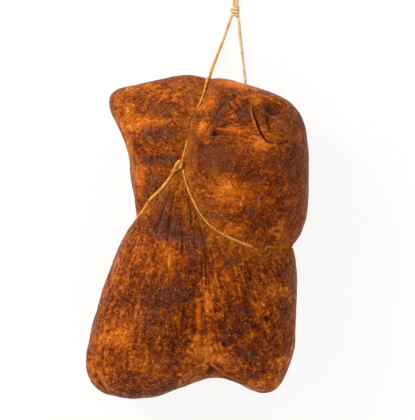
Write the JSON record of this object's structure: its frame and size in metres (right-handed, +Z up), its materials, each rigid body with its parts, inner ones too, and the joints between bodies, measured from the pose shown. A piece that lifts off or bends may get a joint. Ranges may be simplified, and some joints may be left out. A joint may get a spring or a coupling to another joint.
{
  "type": "cured sausage",
  "caption": "Large air-cured sausage in a natural bladder casing, tied like a parcel with twine into three lobes, with a knotted hanging loop, lying on its back.",
  "frame": {"origin": "on the surface that the sausage lies on, under the centre of the box round the sausage and the twine that binds it", "axes": "+Z up, the side that the front of the sausage faces; +Y to its top end, where it hangs from; +X to the right as its front is seen with the top end away"},
  "size_m": [0.1681, 0.3467, 0.1039],
  "materials": {
    "casing": "dried natural casing, semi-matte, mottled orange brown",
    "twine": "plied cotton twine, cream where it hangs free and stained orange on the sausage"
  },
  "bodies": {
    "root": {"sausage": "casing", "waist_twine_left": "twine", "waist_twine_right": "twine", "front_strand": "twine", "back_strand": "twine", "front_hitch": "twine", "back_hitch": "twine", "front_leg": "twine", "back_leg": "twine", "hanging_loop": "twine", "hanging_knot": "twine"}
  },
  "joints": []
}
